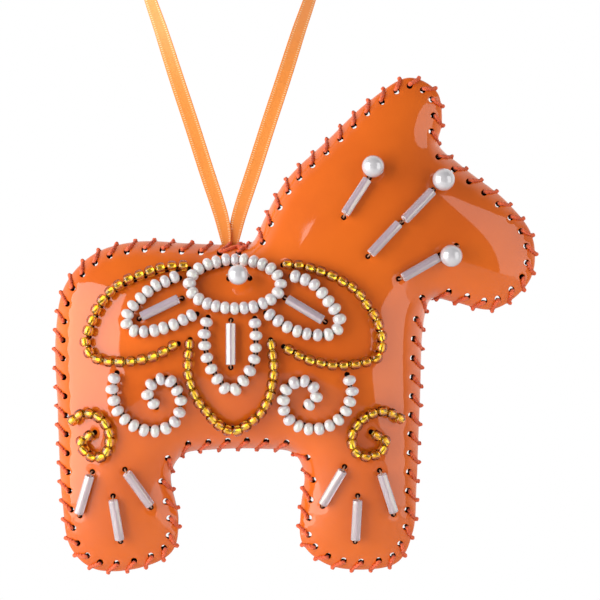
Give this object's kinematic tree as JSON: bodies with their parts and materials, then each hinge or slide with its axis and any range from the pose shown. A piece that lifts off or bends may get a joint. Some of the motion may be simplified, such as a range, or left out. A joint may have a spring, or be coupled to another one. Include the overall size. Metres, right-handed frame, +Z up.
{
  "type": "dala horse hanging ornament",
  "caption": "Hanging dala horse ornament: two whip-stitched patent leather panels over stuffing, decorated with glass beads, on a satin ribbon loop.",
  "frame": {"origin": "the hanging point: under the satin ribbon at the top of its loop, where a hook or branch carries it", "axes": "+Z up, +X from the rump to the nose, the beaded panel faces -Y"},
  "size_m": [0.1075, 0.031, 0.1574],
  "materials": {
    "patent_leather": "glossy orange patent leather",
    "stuffing": "dark recycled wool wadding, seen only as darkness behind the punched holes",
    "rim_thread": "two-ply orange-red embroidery thread",
    "sewing_thread": "fine pale beading thread",
    "satin_ribbon": "light orange satin with woven edges",
    "gold_glass": "silver-lined amber seed beads",
    "cream_pearl_glass": "cream pearl seed beads",
    "bugle_glass": "clear bugle beads with a pale lilac rainbow lustre",
    "white_pearl": "white imitation pearls"
  },
  "bodies": {
    "ribbon_loop": {"ribbon_loop": "satin_ribbon"},
    "ribbon_neck": {"ribbon_neck": "satin_ribbon"},
    "horse": {"front_panel": "patent_leather", "back_panel": "patent_leather", "stuffing": "stuffing", "rim_stitching": "rim_thread", "ribbon_tails": "satin_ribbon", "gold_beads_rear_petal": "gold_glass", "gold_beads_front_petal": "gold_glass", "gold_beads_centre_petal": "gold_glass", "gold_beads_rear_scroll": "gold_glass", "gold_beads_front_scroll": "gold_glass", "cream_beads_rosette": "cream_pearl_glass", "cream_beads_rear_petal": "cream_pearl_glass", "cream_beads_front_petal": "cream_pearl_glass", "cream_beads_centre_petal": "cream_pearl_glass", "cream_beads_rear_scroll": "cream_pearl_glass", "cream_beads_front_scroll": "cream_pearl_glass", "bugle_rear_petal": "bugle_glass", "thread_bugle_rear_petal": "sewing_thread", "bugle_centre_petal": "bugle_glass", "thread_bugle_centre_petal": "sewing_thread", "bugle_front_petal": "bugle_glass", "thread_bugle_front_petal": "sewing_thread", "bugle_rear_hoof_outer": "bugle_glass", "thread_bugle_rear_hoof_outer": "sewing_thread", "bugle_rear_hoof_middle": "bugle_glass", "thread_bugle_rear_hoof_middle": "sewing_thread", "bugle_rear_hoof_inner": "bugle_glass", "thread_bugle_rear_hoof_inner": "sewing_thread", "bugle_front_hoof_inner": "bugle_glass", "thread_bugle_front_hoof_inner": "sewing_thread", "bugle_front_hoof_middle": "bugle_glass", "thread_bugle_front_hoof_middle": "sewing_thread", "bugle_front_hoof_outer": "bugle_glass", "thread_bugle_front_hoof_outer": "sewing_thread", "bugle_mane": "bugle_glass", "thread_bugle_mane": "sewing_thread", "bugle_bridle_upper": "bugle_glass", "thread_bugle_bridle_upper": "sewing_thread", "bugle_bridle_lower": "bugle_glass", "thread_bugle_bridle_lower": "sewing_thread", "bugle_jaw": "bugle_glass", "thread_bugle_jaw": "sewing_thread", "pearl_mane": "white_pearl", "thread_pearl_mane": "sewing_thread", "pearl_brow": "white_pearl", "thread_pearl_brow": "sewing_thread", "pearl_jaw": "white_pearl", "thread_pearl_jaw": "sewing_thread", "pearl_rosette": "white_pearl", "thread_pearl_rosette": "sewing_thread"}
  },
  "joints": [
    {"name": "ribbon_twist", "type": "hinge", "parent": "ribbon_loop", "child": "ribbon_neck", "pos_m": [0, 0, -0.0783], "axis": [0, 0, 1], "range_deg": [-180, 180], "stiffness_Nm_per_rad": 0.00007},
    {"name": "horse_swing", "type": "hinge", "parent": "ribbon_neck", "child": "horse", "pos_m": [0, 0, -0.0828], "axis": [1, 0, 0], "range_deg": [-80, 80]}
  ]
}
